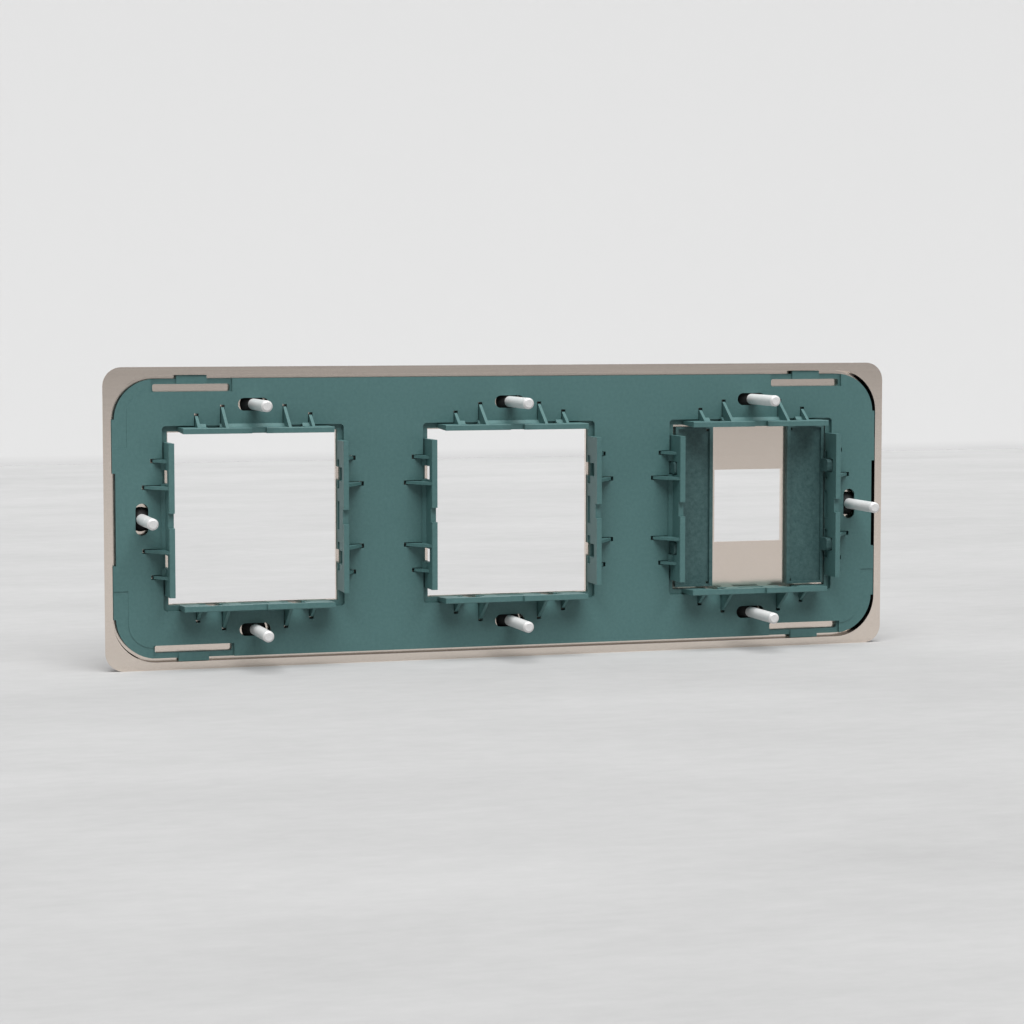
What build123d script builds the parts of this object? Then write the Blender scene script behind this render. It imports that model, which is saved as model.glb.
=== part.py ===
from build123d import *
import math
import os

# Frame: X to the right seen from the front, Y towards the wall, Z up, in mm.
# The origin is the middle of the frame on the plane that meets the wall.
# "Reach" is a distance from the middle of a bay; "along" runs beside a bay's edge.

# Bays
BAY_PITCH = 71.0
BAY_CLEAR = 45.4
HALF_BAY_CLEAR = 20.3

# Front plate, which reaches past the screws by its margin on all four sides
PLATE_MARGIN = 10.0
PLATE_DEPTH = 3.8
PLATE_CORNER_R = 5.0
RIM_W = 2.1
POCKET_DEPTH = 2.3
POCKET_CORNER_R = 11.5
SIDE_LAND = 0.5
SIDE_LEAN = 1.8
FRONT_EDGE_R = 0.6
HOLE_EDGE_BREAK = 0.25

# Carrier
CARRIER_END_GAP = 0.15
CARRIER_LONG_GAP = 1.0
CARRIER_CORNER_R = 11.0
CORNER_RELIEF = 0.65
END_PAD_EASE = 0.1
END_NOTCH_DEPTH = 0.85
END_NOTCH_L = 24.4
WINDOW_GAP = 0.4
WINDOW_CORNER_R = 1.0
CORNER_STEP_DEPTH = 0.15
CORNER_STEP_EDGE = 3.95
CORNER_STEP_TOP = 2.9
CORNER_STEP_R = 6.5
CORNER_STEP_FROM = 18.8

# Snap tabs on the carrier's long edges, beyond the middle of the outer bays
TAB_BEYOND_BAY = 16.5
TAB_SLOT_L = 20.6
TAB_SLOT_W = 2.05
TAB_SLOT_R = 0.6
TAB_BEAM_W = 1.4
TAB_BEAM_DROP = 0.9
TAB_RECESS_L = 21.6
TAB_NOSE_L = 8.1
TAB_NOSE_DROP = 0.35
TAB_NOSE_GAP = 0.1
TAB_NOSE_LAND = 0.9
TAB_NOSE_T = 1.9

# Screws and their slots
SCREW_D = 3.0
SCREW_NECK_CUT = 0.15
SCREW_NECK_L = 0.2
SCREW_HEAD_D = 6.5
SCREW_HEAD_LAND = 1.15
SCREW_HEAD_SINK = 0.2
SCREW_TIP_Y = 17.5
SCREW_TIP_BREAK = 0.45
SCREW_SEAT_GAP = 0.02
SLOT_SIDE_GAP = 0.2
SLOT_TRAVEL = 5.0
CROSS_L = 3.4
CROSS_W = 0.6
CROSS_DEPTH = 1.2

# Clip frame, whose walls stand back from the plate's hole and lean in at the tip
CLIP_WALL_L = 40.4
CLIP_WALL_T = 1.1
CLIP_STEP_BACK = 0.3
CLIP_LEAN = 0.4
CLIP_TIP_Y = 7.5
CLIP_LIP_BREAK = 0.15
CLIP_FLANGE_W = 1.5
CLIP_FLANGE_T = 1.0
CLIP_FLANGE_GAP = 0.2
LIP_NOTCH_L = 3.9
LIP_NOTCH_DEPTH = 1.3
BEAD_W = 0.85
BEAD_T = 0.5
BEAD_SLOPE = 1.1
BEAD_L = 29.8

# Gusset ribs, as (distance along the wall, length of the foot, drop below the wall's tip)
RIB_LONG = (8.4, 5.2, 0.5)
RIB_SHORT = (15.35, 2.95, 3.2)
RIB_T = 0.8
RIB_FRONT_GAP = 0.1
RIB_SLOT_SIDE_GAP = 0.2
RIB_SLOT_END_GAP = 0.65

# Catch windows in the clip frame's walls
CATCH_ALONG = 11.15
CATCH_L = 3.7
CATCH_TOP_Y = 4.9
CATCH_LEDGE = 0.4
RELIEF_FROM = 7.2
RELIEF_TO = 15.0
RELIEF_MID_L = 7.6
RELIEF_TOP_Y = 1.2
RELIEF_DEPTH = 0.35

# Insert trays that narrow the left bay
TRAY_STEP_BACK = 1.1
TRAY_SIDE_GAP = 0.65
TRAY_END_GAP = 0.6
TRAY_TOP_Y = -0.7
TRAY_FLOOR_T = 0.8
TRAY_CHANNEL_WALL = 1.0
TRAY_OUTER_WALL = 0.8
TRAY_END_WALL = 0.6
TRAY_HOLE = 0.7
HOOK_GAP = 0.1
HOOK_TIP_Y = 3.9
HOOK_TIP_R = 1.0
HOOK_OVERHANG = 0.3
HOOK_BREAK = 0.25

# Reaches from a bay's middle that follow from the sizes above
CLIP_IN = BAY_CLEAR / 2 + CLIP_STEP_BACK
CLIP_LIP_IN = CLIP_IN - CLIP_LEAN
CLIP_OUT = CLIP_IN + CLIP_WALL_T
CLIP_FLANGE_OUT = CLIP_OUT + CLIP_FLANGE_W
BEAD_OUT = CLIP_OUT + BEAD_W
WINDOW_REACH = CLIP_OUT + WINDOW_GAP
TRAY_IN = HALF_BAY_CLEAR / 2 + TRAY_STEP_BACK
TRAY_OUT = CLIP_IN - TRAY_SIDE_GAP
HOOK_REACH = CLIP_OUT + HOOK_OVERHANG
SCREW_REACH = CLIP_FLANGE_OUT + SCREW_HEAD_LAND + SCREW_HEAD_D / 2
PLATE_REACH = SCREW_REACH + PLATE_MARGIN

# Other sizes that follow
BAY_XS = (-BAY_PITCH, 0.0, BAY_PITCH)
TAB_X = BAY_PITCH + TAB_BEYOND_BAY
SCREW_END_X = BAY_PITCH + SCREW_REACH
PLATE_W = 2 * (BAY_PITCH + PLATE_REACH)
PLATE_H = 2 * PLATE_REACH
POCKET_W = PLATE_W - 2 * RIM_W
POCKET_H = PLATE_H - 2 * RIM_W
FLOOR_Y = -POCKET_DEPTH
CARRIER_W = POCKET_W - 2 * CARRIER_END_GAP
CARRIER_H = POCKET_H - 2 * CARRIER_LONG_GAP
END_PAD_L = POCKET_H - 2 * (POCKET_CORNER_R + END_PAD_EASE)
FLANGE_Y = FLOOR_Y + CLIP_FLANGE_T
HEAD_Y = FLOOR_Y + SCREW_HEAD_SINK
SLOT_W = SCREW_D + 2 * SLOT_SIDE_GAP
PAST = 1.0


def plan(outline, y_front, y_back):
    """An outline in X and Z as a solid between two depths."""
    return extrude(Plane.XZ.offset(-y_back) * outline, amount=y_back - y_front)


def box(x_span, y_span, z_span):
    """A box between two values on each axis."""
    spans = (x_span, y_span, z_span)
    middle = [sum(span) / 2 for span in spans]
    return Pos(*middle) * Box(*[span[1] - span[0] for span in spans])


def bar(profile, length, along=0.0):
    """A (depth, reach) profile drawn along X on the upper side of a bay."""
    face = Plane.YZ.offset(along - length / 2) * Polygon(*profile, align=None)
    return extrude(face, amount=length, dir=(1, 0, 0))


def four_sides(piece):
    """The same piece on all four sides of a bay."""
    return [Rot(0, turn, 0) * piece for turn in (0, 90, 180, 270)]


def square_ring(inner, outer, y_front, y_back):
    """A square ring given by its two reaches."""
    return plan(Rectangle(2 * outer, 2 * outer) - Rectangle(2 * inner, 2 * inner), y_front, y_back)


def front_plate():
    """The metal plate: leaning sides, a raised rim and a hole for each bay."""
    outline = RectangleRounded(PLATE_W, PLATE_H, PLATE_CORNER_R)
    lean = math.degrees(math.atan2(SIDE_LEAN, PLATE_DEPTH - SIDE_LAND))
    plate = plan(outline, -SIDE_LAND, 0)
    plate += extrude(Plane.XZ.offset(SIDE_LAND) * outline, amount=PLATE_DEPTH - SIDE_LAND, taper=lean)
    plate = fillet(plate.faces().sort_by(Axis.Y)[0].edges(), FRONT_EDGE_R)
    plate -= plan(RectangleRounded(POCKET_W, POCKET_H, POCKET_CORNER_R), FLOOR_Y, PAST)
    for x, clear in zip(BAY_XS, (HALF_BAY_CLEAR, BAY_CLEAR, BAY_CLEAR)):
        hole = plan(Rectangle(clear, clear), -PLATE_DEPTH, FLOOR_Y)
        hole = chamfer_front(hole)
        plate -= Pos(x, 0, 0) * hole
    return plate


def chamfer_front(hole):
    """Widens a hole's cutter at the front face, which breaks that edge."""
    front = hole.faces().sort_by(Axis.Y)[0]
    flare = extrude(front, amount=HOLE_EDGE_BREAK, dir=(0, 1, 0))
    size = front.bounding_box().size
    grown = 2 * HOLE_EDGE_BREAK
    wide = Plane.XZ.offset(PLATE_DEPTH) * Rectangle(size.X + grown, size.Z + grown)
    narrow = Plane.XZ.offset(PLATE_DEPTH - HOLE_EDGE_BREAK) * Rectangle(size.X, size.Z)
    return hole + flare + loft([wide.face(), narrow.face()])


def screw_slot(turn):
    """The cutter of a countersunk slot, along X or turned to stand up."""
    groove_w = SCREW_HEAD_D + 2 * SCREW_HEAD_SINK + 2 * SCREW_SEAT_GAP
    sink = (groove_w - SLOT_W) / 2
    front = Plane(origin=(0, FLOOR_Y, 0), x_dir=(1, 0, 0), z_dir=(0, 1, 0))
    groove = extrude(front * SlotCenterToCenter(SLOT_TRAVEL, groove_w), amount=sink, taper=45)
    through = plan(SlotCenterToCenter(SLOT_TRAVEL, SLOT_W), FLOOR_Y, PAST)
    return Rot(0, turn, 0) * (groove + through)


def screw_seats():
    """Name, place and slot direction of the eight screws."""
    seats = []
    for side, x in zip(("left", "middle", "right"), BAY_XS):
        seats.append(("top_" + side, x, SCREW_REACH, 0))
        seats.append(("bottom_" + side, x, -SCREW_REACH, 0))
    seats.append(("end_left", -SCREW_END_X, 0, 90))
    seats.append(("end_right", SCREW_END_X, 0, 90))
    return seats


def bay_window():
    """The cutter of a carrier window: rib slots all round and a seat for the flange."""
    outline = RectangleRounded(2 * WINDOW_REACH, 2 * WINDOW_REACH, WINDOW_CORNER_R)
    slot_w = RIB_T + 2 * RIB_SLOT_SIDE_GAP
    for along, foot, drop in (RIB_LONG, RIB_SHORT):
        length = 2 * (CLIP_OUT + foot + RIB_SLOT_END_GAP)
        for shift in (-along, along):
            outline += Pos(shift, 0) * Rectangle(slot_w, length)
            outline += Pos(0, shift) * Rectangle(length, slot_w)
    seat = 2 * (CLIP_FLANGE_OUT + CLIP_FLANGE_GAP)
    return plan(outline, FLOOR_Y - PAST, PAST) + plan(Rectangle(seat, seat), FLOOR_Y - PAST, FLANGE_Y)


def snap_tab(side):
    """Cutter and nose of a snap tab on one long edge of the carrier."""
    edge = CARRIER_H / 2
    beam_z = edge - TAB_BEAM_W
    slot_low = beam_z - TAB_SLOT_W
    slot = Pos(0, 0, slot_low + TAB_SLOT_W / 2) * plan(
        RectangleRounded(TAB_SLOT_L, TAB_SLOT_W, TAB_SLOT_R), FLOOR_Y - PAST, PAST)
    recess = box((-TAB_RECESS_L / 2, TAB_RECESS_L / 2), (-TAB_BEAM_DROP, PAST), (slot_low, edge + PAST))
    nose_z = POCKET_H / 2 - TAB_NOSE_GAP
    land_y = -TAB_NOSE_DROP - TAB_NOSE_LAND
    nose = bar([(-TAB_NOSE_DROP, beam_z), (-TAB_NOSE_DROP, nose_z), (land_y, nose_z),
                (-TAB_NOSE_T, edge), (-TAB_NOSE_T, beam_z)], TAB_NOSE_L)
    return Rot(0, side, 0) * (slot + recess), Rot(0, side, 0) * nose


def corner_steps():
    """The cutter of the faint steps at the carrier's four corners."""
    inner = RectangleRounded(
        CARRIER_W - 2 * CORNER_STEP_EDGE, CARRIER_H - 2 * CORNER_STEP_TOP, CORNER_STEP_R)
    outline = Rectangle(CARRIER_W + PAST, CARRIER_H + PAST) - inner
    outline -= Rectangle(CARRIER_W + 2 * PAST, 2 * CORNER_STEP_FROM)
    outline -= Rectangle(CARRIER_W - 2 * (CORNER_STEP_EDGE + CORNER_STEP_R), CARRIER_H + 2 * PAST)
    return plan(outline, -CORNER_STEP_DEPTH, PAST)


def carrier():
    """The long moulding that is screwed to the wall boxes."""
    outline = RectangleRounded(CARRIER_W - 2 * CORNER_RELIEF, CARRIER_H, CARRIER_CORNER_R)
    body = plan(outline + Rectangle(CARRIER_W, END_PAD_L), FLOOR_Y, 0)
    notch_x = (CARRIER_W / 2 - END_NOTCH_DEPTH, CARRIER_W / 2 + PAST)
    notch_z = (-END_NOTCH_L / 2, END_NOTCH_L / 2)
    for end in (-1, 1):
        notch = box(notch_x, (FLOOR_Y - PAST, PAST), notch_z)
        body -= Rot(0, 90 - 90 * end, 0) * notch
    body -= corner_steps()
    for x in BAY_XS:
        body -= Pos(x, 0, 0) * bay_window()
    for name, x, z, turn in screw_seats():
        body -= Pos(x, 0, z) * screw_slot(turn)
    for x in (-TAB_X, TAB_X):
        for side in (0, 180):
            cutter, nose = snap_tab(side)
            body -= Pos(x, 0, 0) * cutter
            body += Pos(x, 0, 0) * nose
    return body


def rib(along, foot, drop):
    """A gusset rib from near the wall's tip down to its foot in the carrier's slot."""
    front = FLOOR_Y + RIB_FRONT_GAP
    root = (CLIP_OUT + CLIP_IN) / 2
    top = CLIP_TIP_Y - drop
    toe = CLIP_OUT + foot
    return bar([(front, root), (top, root), (top, CLIP_OUT), (0, toe), (front, toe)], RIB_T, along)


def clip_wall():
    """One wall of the clip frame with its bead and ribs, on the bay's upper side."""
    edge = CLIP_TIP_Y - CLIP_LIP_BREAK
    root = (CLIP_OUT + CLIP_IN) / 2
    wall = bar([(FLOOR_Y, CLIP_IN), (FLANGE_Y, CLIP_IN), (CLIP_TIP_Y, CLIP_LIP_IN),
                (CLIP_TIP_Y, CLIP_OUT - CLIP_LIP_BREAK), (edge, CLIP_OUT), (FLOOR_Y, CLIP_OUT)],
               CLIP_WALL_L)
    wall += bar([(0, root), (0, BEAD_OUT), (BEAD_T, BEAD_OUT), (BEAD_T + BEAD_SLOPE, CLIP_OUT),
                 (BEAD_T + BEAD_SLOPE, root)], BEAD_L)
    for along, foot, drop in (RIB_LONG, RIB_SHORT):
        wall += rib(-along, foot, drop)
        wall += rib(along, foot, drop)
    return wall


def clip_cuts():
    """What is cut from each wall: lip notch, catch windows and reliefs."""
    low = CLIP_LIP_IN - PAST
    relief_reach = CLIP_IN + RELIEF_DEPTH
    cuts = [box((-LIP_NOTCH_L / 2, LIP_NOTCH_L / 2), (CLIP_TIP_Y - LIP_NOTCH_DEPTH, CLIP_TIP_Y + PAST),
                (low, CLIP_OUT + PAST))]
    cuts.append(box((-RELIEF_MID_L / 2, RELIEF_MID_L / 2), (FLANGE_Y, RELIEF_TOP_Y), (low, relief_reach)))
    for side in (-1, 1):
        catch = sorted((side * (CATCH_ALONG - CATCH_L / 2), side * (CATCH_ALONG + CATCH_L / 2)))
        relief = sorted((side * RELIEF_FROM, side * RELIEF_TO))
        cuts.append(box(catch, (FLANGE_Y, CATCH_TOP_Y), (low, CLIP_OUT)))
        cuts.append(box(catch, (0, CATCH_TOP_Y), (CLIP_OUT, BEAD_OUT + PAST)))
        cuts.append(box(catch, (FLOOR_Y - PAST, FLANGE_Y), (low, CLIP_OUT - CATCH_LEDGE)))
        cuts.append(box(relief, (FLANGE_Y, RELIEF_TOP_Y), (low, relief_reach)))
    return cuts


def clip_frame(x):
    """The moulding that holds a module in one bay, pushed in from the front."""
    frame = square_ring(CLIP_IN, CLIP_FLANGE_OUT, FLOOR_Y, FLANGE_Y)
    for wall in four_sides(clip_wall()):
        frame += wall
    for cut in clip_cuts():
        for turned in four_sides(cut):
            frame -= turned
    return Pos(x, 0, 0) * frame


def hook():
    """A snap hook that stands on the tray's outer wall and fills a catch window, on the upper side."""
    root = TRAY_OUT - TRAY_OUTER_WALL
    half = CATCH_L / 2 - HOOK_GAP
    corners = ((-half, FLANGE_Y), (half, FLANGE_Y), (half, HOOK_TIP_Y), (-half, HOOK_TIP_Y))
    face = Polygon(*corners, align=None)
    face = fillet(face.vertices().group_by(Axis.Y)[-1], HOOK_TIP_R)
    body = extrude(Plane.XY.offset(root) * face, amount=HOOK_REACH - root)
    rim = body.faces().sort_by(Axis.Z)[-1].edges().sort_by(Axis.Y)[1:]
    return chamfer(rim, HOOK_BREAK)


def tray(side):
    """An insert tray of the left bay, with two hooks in the catch windows."""
    half = CLIP_IN - TRAY_END_GAP
    body = box((TRAY_IN, TRAY_OUT), (FLOOR_Y, TRAY_TOP_Y), (-half, half))
    body -= box((TRAY_IN + TRAY_CHANNEL_WALL, TRAY_OUT - TRAY_OUTER_WALL),
                (FLOOR_Y + TRAY_FLOOR_T, PAST), (TRAY_END_WALL - half, half - TRAY_END_WALL))
    hole_reach = TRAY_IN + TRAY_CHANNEL_WALL
    hole_end = half - TRAY_END_WALL
    for end in (-1, 1):
        hole = sorted((end * (hole_end - TRAY_HOLE), end * hole_end))
        body -= box((hole_reach, hole_reach + TRAY_HOLE), (FLOOR_Y - PAST, PAST), hole)
    for along in (-CATCH_ALONG, CATCH_ALONG):
        body += Rot(0, 90, 0) * Pos(along, 0, 0) * hook()
    return Pos(-BAY_PITCH, 0, 0) * Rot(0, side, 0) * body


def screw(x, z):
    """A countersunk machine screw: cross recess, neck in the slot, shank behind the carrier."""
    neck_r = SCREW_D / 2 - SCREW_NECK_CUT
    neck_y = HEAD_Y + SCREW_HEAD_D / 2 - neck_r
    shank_y = neck_y + SCREW_NECK_L
    outline = Polyline((0, HEAD_Y), (SCREW_HEAD_D / 2, HEAD_Y), (neck_r, neck_y), (neck_r, shank_y),
                       (SCREW_D / 2, shank_y), (SCREW_D / 2, SCREW_TIP_Y), (0, SCREW_TIP_Y), close=True)
    body = revolve(make_face(outline), axis=Axis.Y)
    body = chamfer(body.edges().group_by(Axis.Y)[-1], SCREW_TIP_BREAK)
    for turn in (0, 90):
        arm = box((-CROSS_L / 2, CROSS_L / 2), (HEAD_Y - PAST, HEAD_Y + CROSS_DEPTH),
                  (-CROSS_W / 2, CROSS_W / 2))
        body -= Rot(0, turn, 0) * arm
    return Pos(x, 0, z) * body


def pieces():
    """Every piece of the frame by its node name."""
    made = {"front_plate": front_plate(), "carrier": carrier()}
    for side, x in zip(("left", "middle", "right"), BAY_XS):
        made["clip_frame_" + side] = clip_frame(x)
    made["spacer_inner"] = tray(0)
    made["spacer_outer"] = tray(180)
    for name, x, z, turn in screw_seats():
        made["screw_" + name] = screw(x, z)
    return made


os.makedirs("parts", exist_ok=True)
for node, piece in pieces().items():
    export_step(piece.solid(), f"parts/{node}.step")
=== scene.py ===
import math

import bpy
from mathutils import Matrix, Vector

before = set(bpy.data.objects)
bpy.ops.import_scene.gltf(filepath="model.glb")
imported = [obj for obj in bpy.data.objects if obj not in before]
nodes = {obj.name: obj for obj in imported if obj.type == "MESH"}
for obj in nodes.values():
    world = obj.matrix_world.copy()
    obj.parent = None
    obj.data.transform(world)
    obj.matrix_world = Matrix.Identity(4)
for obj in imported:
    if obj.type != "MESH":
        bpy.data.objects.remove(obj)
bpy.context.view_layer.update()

X, Y, Z = range(3)

# Camera, solved from the photograph, in the part's own frame
CAMERA_AT = (0.213866, 0.695038, 0.053595)
CAMERA_RIGHT = (-0.955527, 0.294903, -0.000354)
CAMERA_UP = (-0.022097, -0.070401, 0.997274)
CAMERA_BACK = (0.294075, 0.952930, 0.073786)
LENS_MM = 93.705
SENSOR_MM = 36.0
CLIP_START = 0.01

# The plate's pocket: width of the rim around it, radius of its corners and its depth
RIM_W = 0.0021
POCKET_CORNER_R = 0.0115
POCKET_DEPTH = 0.0023

# Painted shade on the pocket's side wall: how far it reaches to each side of the
# wall, how far it passes the pocket's floor, and how far it stops short of the rim's back
WALL_BAND = 0.0003
PAST_FLOOR = 0.00003
SHORT_OF_RIM = 0.00002

# Where the painted shade begins along X, past the start of a corner's round, and how long it fades in
PAINTED_SHADE_FROM = 0.004
PAINTED_SHADE_FADE = 0.002

# The screws' heads carry painted shade as far as this depth, just short of the carrier's back
HEAD_SHADE_TO_Y = -0.0001

# The screws' cut ends, which are duller than their shanks, begin here
CUT_END_FROM_Y = 0.0170

# Colours, with a dark and a light tone where the finish varies
POLISHED_METAL = ((0.68, 0.601, 0.534, 1), (0.96, 0.850, 0.755, 1))
# Painted shade: near-black for the pocket's end walls, for the shadow in the narrow gap there
POCKET_WALL_PAINTED_SHADE = (0.004, 0.004, 0.0035, 1)
TEAL_MOULDING = ((0.030, 0.090, 0.089, 1), (0.089, 0.193, 0.190, 1))
# The spacers' teal, darkened as painted shade for their recess; the spread of tones is the grain
TEAL_SPACER_AND_SHADE = ((0.006, 0.040, 0.042, 1), (0.072, 0.148, 0.146, 1))
SCREW_SHANK = ((0.88, 0.88, 0.875, 1), (0.95, 0.95, 0.945, 1))
SCREW_CUT_END = ((0.50, 0.50, 0.495, 1), (0.78, 0.78, 0.775, 1))
# Painted shade: near-black for the screws' heads, for the shadow in the slot hollows behind the
# shanks
SCREW_HEAD_PAINTED_SHADE = (0.010, 0.011, 0.011, 1)

# Studio: a floor that runs back to a wall, which is parallel to the frame
FLOOR_Z = -0.040
WALL_Y = -0.982
FLOOR_FRONT_Y = 3.0
STUDIO_HALF_W = 3.5
WALL_H = 3.0
FLOOR_TONES = (0.325, 0.485)
WALL_TONES = (0.734, 0.739)
WALL_FOOT_TONE = 0.652
WALL_FOOT_H = 0.006

# Light: a pale sky and one wide soft lamp above, a little to the camera's side
SKY_STRENGTH = 0.21
TOP_STRENGTH = 4.55
TOP_FROM = (0.03, 0.42, 0.90)
TOP_SOFTNESS = 58.0

# Sockets of the Mix node for colours, which shares their names with its other kinds
MIX_FACTOR, MIX_LOW, MIX_HIGH, MIX_RESULT = 0, 6, 7, 2


class Shade:
    """A value or socket in a shader tree, so that maths on it reads as an expression."""

    def __init__(self, tree, socket):
        self.tree = tree
        self.socket = socket

    def _math(self, operation, *values):
        return self.tree.node("ShaderNodeMath", {"operation": operation}, list(values))

    def __add__(self, other):
        return self._math("ADD", self, other)

    __radd__ = __add__

    def __sub__(self, other):
        return self._math("SUBTRACT", self, other)

    def __rsub__(self, other):
        return self._math("SUBTRACT", other, self)

    def __mul__(self, other):
        return self._math("MULTIPLY", self, other)

    __rmul__ = __mul__

    def __pow__(self, other):
        return self._math("POWER", self, other)

    def size(self):
        return self._math("ABSOLUTE", self)

    def above(self, other):
        return self._math("GREATER_THAN", self, other)

    def at_least(self, other):
        return self._math("MAXIMUM", self, other)

    def clamp(self):
        return self.tree.node("ShaderNodeClamp", {}, {"Value": self})


class Finish:
    """A material's node tree with its Principled shader."""

    def __init__(self, name):
        self.material = bpy.data.materials.new(name)
        self.material.use_nodes = True
        self.tree = self.material.node_tree
        self.tree.nodes.clear()
        self.shader = self.tree.nodes.new("ShaderNodeBsdfPrincipled")
        out = self.tree.nodes.new("ShaderNodeOutputMaterial")
        self.tree.links.new(self.shader.outputs["BSDF"], out.inputs["Surface"])

    def feed(self, socket, value):
        """Links a shade to a socket, or sets the socket to a plain value."""
        if isinstance(value, Shade):
            self.tree.links.new(value.socket, socket)
        else:
            socket.default_value = value

    def node(self, kind, settings, inputs, output=0):
        """Any node: its settings first, then the values or links of its sockets."""
        made = self.tree.nodes.new(kind)
        for key, value in settings.items():
            setattr(made, key, value)
        pairs = inputs.items() if isinstance(inputs, dict) else enumerate(inputs)
        for key, value in pairs:
            self.feed(made.inputs[key], value)
        return Shade(self, made.outputs[output])

    def place(self):
        """Object coordinates."""
        return self.node("ShaderNodeTexCoord", {}, {}, "Object")

    def along(self, axis):
        """The place along one axis."""
        return self.node("ShaderNodeSeparateXYZ", {}, [self.place()], axis)

    def noise(self, scale, detail=3.0, roughness=0.5, stretch=(1, 1, 1)):
        """Noise on Object coordinates; a small number in stretch draws it out along that axis."""
        place = self.node("ShaderNodeMapping", {}, {"Vector": self.place(), "Scale": stretch})
        return self.node("ShaderNodeTexNoise", {}, {
            "Vector": place, "Scale": scale, "Detail": detail, "Roughness": roughness})

    def blend(self, factor, low, high):
        """A colour between two colours."""
        inputs = {MIX_FACTOR: factor, MIX_LOW: low, MIX_HIGH: high}
        return self.node("ShaderNodeMix", {"data_type": "RGBA"}, inputs, MIX_RESULT)

    def bump(self, height, distance, strength):
        inputs = {"Height": height, "Distance": distance, "Strength": strength}
        return self.node("ShaderNodeBump", {}, inputs)

    def set(self, **sockets):
        """Feeds the shader's sockets and gives the finished material."""
        for key, value in sockets.items():
            self.feed(self.shader.inputs[key.replace("_", " ")], value)
        return self.material


def grey(tone):
    return (tone, tone, tone, 1)


def pocket_ends(f):
    """1 on the side wall of the plate's pocket at its two ends and its corners, 0 elsewhere: where
    its painted shade goes.
    """
    corners = nodes["front_plate"].bound_box
    core_x, core_z = (max(corner[axis] for corner in corners) - RIM_W - POCKET_CORNER_R
                      for axis in (X, Z))
    past_x = (f.along(X).size() - core_x).at_least(0.0)
    past_z = (f.along(Z).size() - core_z).at_least(0.0)
    away = (past_x ** 2.0 + past_z ** 2.0) ** 0.5
    outside = away.above(POCKET_CORNER_R + WALL_BAND)
    near_wall = away.above(POCKET_CORNER_R - WALL_BAND) * (1.0 - outside)
    y = f.along(Y)
    between = y.above(-POCKET_DEPTH - PAST_FLOOR) * (1.0 - y.above(-SHORT_OF_RIM))
    fade = (past_x * (1 / PAINTED_SHADE_FADE) - PAINTED_SHADE_FROM / PAINTED_SHADE_FADE).clamp()
    return near_wall * between * fade


def satin_metal():
    """The plate's polished metal, with fine drawing lines along X and painted shade on the pocket's
    ends.
    """
    f = Finish("satin_metal")
    brushing = f.noise(900.0, detail=4.0, roughness=0.6, stretch=(0.03, 1, 1))
    clouds = f.noise(35.0)
    grit = f.noise(2200.0, roughness=0.7, stretch=(0.4, 1, 1))
    tone = (brushing * 0.3 + clouds * 0.2 + grit * 0.5).clamp()
    # Painted shade on the pocket's end walls, which are also made rougher
    painted_shade = pocket_ends(f)
    colour = f.blend(painted_shade, f.blend(tone, *POLISHED_METAL), POCKET_WALL_PAINTED_SHADE)
    rough = 0.12 + brushing * 0.06 + clouds * 0.04 + painted_shade * 0.5
    normal = f.bump(brushing, distance=0.00001, strength=0.3)
    return f.set(Base_Color=colour, Metallic=1.0, Roughness=rough, Normal=normal)


def moulded_plastic():
    """The teal mouldings: spark-eroded surface with faint flow marks."""
    f = Finish("moulded_plastic")
    grain = f.noise(2600.0, detail=2.0)
    flow = f.noise(28.0, detail=4.0, roughness=0.55, stretch=(0.6, 1, 1))
    speck = f.noise(1100.0, roughness=0.7)
    tone = (flow * 0.45 + speck * 0.55).clamp()
    colour = f.blend(tone, *TEAL_MOULDING)
    rough = 0.46 + speck * 0.10 + flow * 0.06
    normal = f.bump(grain, distance=0.00003, strength=0.6)
    return f.set(Base_Color=colour, Metallic=0.0, Roughness=rough, Normal=normal)


def grained_plastic():
    """The spacers' teal, darkened with painted shade for their recess between the walls, with a
    coarse moulded grain.
    """
    f = Finish("grained_plastic")
    grain = f.noise(1500.0, roughness=0.6)
    speck = f.noise(1000.0, roughness=0.65)
    colour = f.blend(speck.clamp(), *TEAL_SPACER_AND_SHADE)
    rough = 0.52 + grain * 0.12
    normal = f.bump(grain * 0.5 + speck * 0.5, distance=0.00008, strength=0.8)
    return f.set(Base_Color=colour, Metallic=0.0, Roughness=rough, Normal=normal)


def bright_steel():
    """The screws' bright plating, with faint turning lines, painted shade on the heads and a grainy
    cut end.
    """
    f = Finish("bright_steel")
    turning = f.noise(1800.0, detail=2.0, stretch=(0.05, 1, 0.05))
    haze = f.noise(400.0)
    grit = f.noise(3500.0, roughness=0.7)
    y = f.along(Y)
    # Painted shade on the screws' heads, which are also made rougher
    head_shade = 1.0 - y.above(HEAD_SHADE_TO_Y)
    cut_end = y.above(CUT_END_FROM_Y)
    shank_colour = f.blend(haze.clamp(), *SCREW_SHANK)
    end_colour = f.blend(grit.clamp(), *SCREW_CUT_END)
    colour = f.blend(head_shade, f.blend(cut_end, shank_colour, end_colour), SCREW_HEAD_PAINTED_SHADE)
    rough = 0.20 + turning * 0.06 + haze * 0.05 + head_shade * 0.4 + cut_end * 0.25
    normal = f.bump(turning, distance=0.00001, strength=0.4)
    return f.set(Base_Color=colour, Metallic=0.22, Roughness=rough, Normal=normal)


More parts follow.
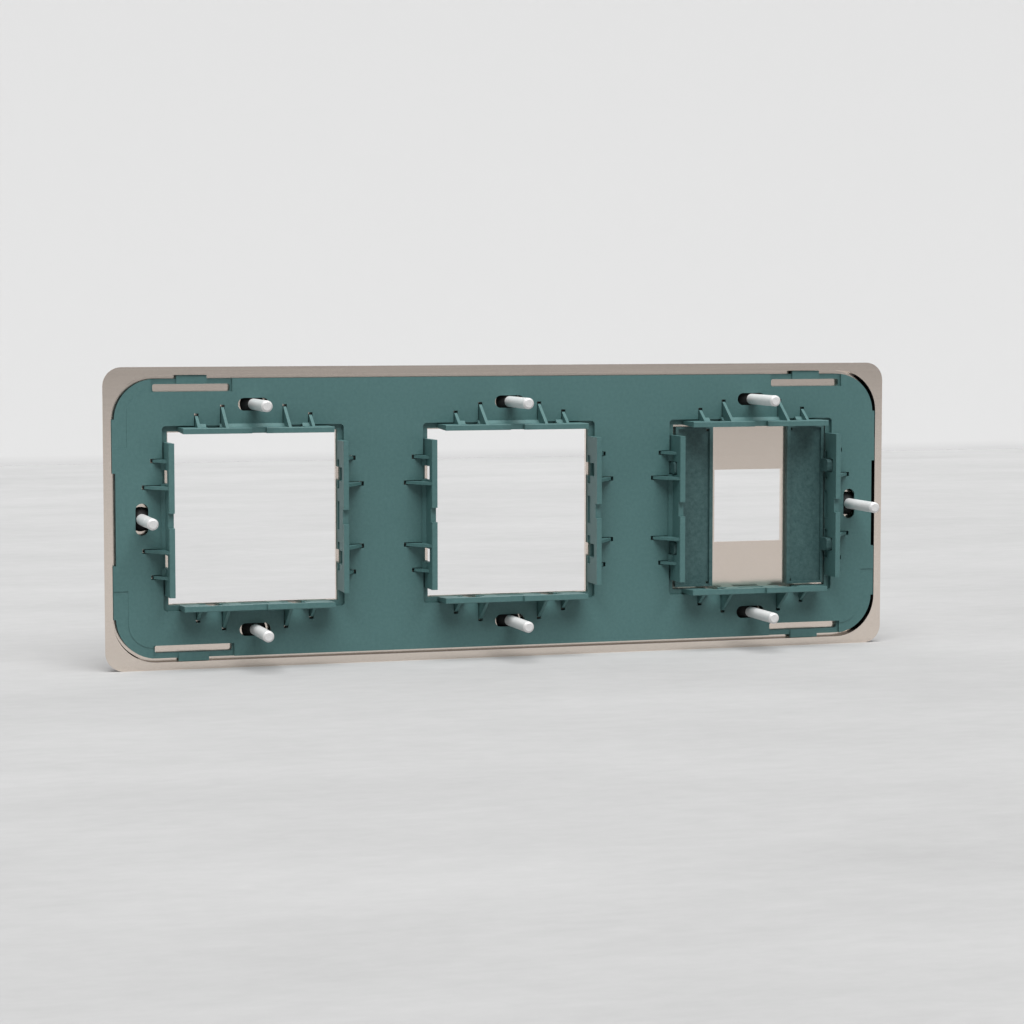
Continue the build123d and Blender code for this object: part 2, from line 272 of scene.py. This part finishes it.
def pale_plaster(name, tones, foot=False):
    """A matt studio surface with a faint mottling, a little darker at its foot if asked."""
    f = Finish(name)
    wide = f.noise(9.0, detail=6.0, roughness=0.6, stretch=(1, 2.2, 1))
    fine = f.noise(260.0, detail=4.0, roughness=0.65, stretch=(0.5, 1, 1))
    tone = wide * 0.65 + fine * 0.35
    low, high = tones
    colour = f.blend(tone.clamp(), grey(low), grey(high))
    if foot:
        rise = ((f.along(Z) - FLOOR_Z) * (1 / WALL_FOOT_H)).clamp()
        colour = f.blend(rise, grey(WALL_FOOT_TONE), colour)
    return f.set(Base_Color=colour, Roughness=0.75, Specular_IOR_Level=0.0)


def dress():
    """Gives each CAD node the finish that goes with the first word of its name."""
    looks = {"front": satin_metal(), "spacer": grained_plastic(), "screw": bright_steel()}
    plastic = moulded_plastic()
    for name, piece in nodes.items():
        look = looks.get(name.split("_")[0], plastic)
        piece.data.materials.clear()
        piece.data.materials.append(look)


def sheet(name, near, far, material):
    """A flat stage sheet across the studio between two lines, each given by its Y and Z."""
    half = STUDIO_HALF_W
    corners = [(half, *near), (-half, *near), (-half, *far), (half, *far)]
    data = bpy.data.meshes.new(name)
    data.from_pydata(corners, [], [(0, 1, 2, 3)])
    data.materials.append(material)
    made = bpy.data.objects.new(name, data)
    bpy.context.scene.collection.objects.link(made)


def studio():
    """A flat floor that meets a flat wall."""
    front, foot, top = (FLOOR_FRONT_Y, FLOOR_Z), (WALL_Y, FLOOR_Z), (WALL_Y, WALL_H)
    sheet("studio_floor", front, foot, pale_plaster("studio_floor", FLOOR_TONES))
    sheet("studio_wall", foot, top, pale_plaster("studio_wall", WALL_TONES, foot=True))


def lights():
    """A pale sky with one wide soft lamp from above, a little to the camera's side."""
    world = bpy.data.worlds.new("studio_air")
    bpy.context.scene.world = world
    world.use_nodes = True
    sky = world.node_tree.nodes["Background"]
    sky.inputs["Color"].default_value = grey(1.0)
    sky.inputs["Strength"].default_value = SKY_STRENGTH
    lamp = bpy.data.lights.new("top_light", "SUN")
    lamp.energy = TOP_STRENGTH
    lamp.angle = math.radians(TOP_SOFTNESS)
    top = bpy.data.objects.new("top_light", lamp)
    top.rotation_euler = Vector(TOP_FROM).to_track_quat("Z", "Y").to_euler()
    bpy.context.scene.collection.objects.link(top)


def camera():
    """The photograph's camera."""
    lens = bpy.data.cameras.new("photo_camera")
    lens.lens = LENS_MM
    lens.sensor_width = SENSOR_MM
    lens.clip_start = CLIP_START
    eye = bpy.data.objects.new("photo_camera", lens)
    axes = Matrix((CAMERA_RIGHT, CAMERA_UP, CAMERA_BACK)).transposed()
    eye.matrix_world = Matrix.Translation(CAMERA_AT) @ axes.to_4x4()
    bpy.context.scene.collection.objects.link(eye)
    bpy.context.scene.camera = eye


camera()
studio()
lights()
dress()
bpy.context.scene.view_settings.view_transform = "Standard"
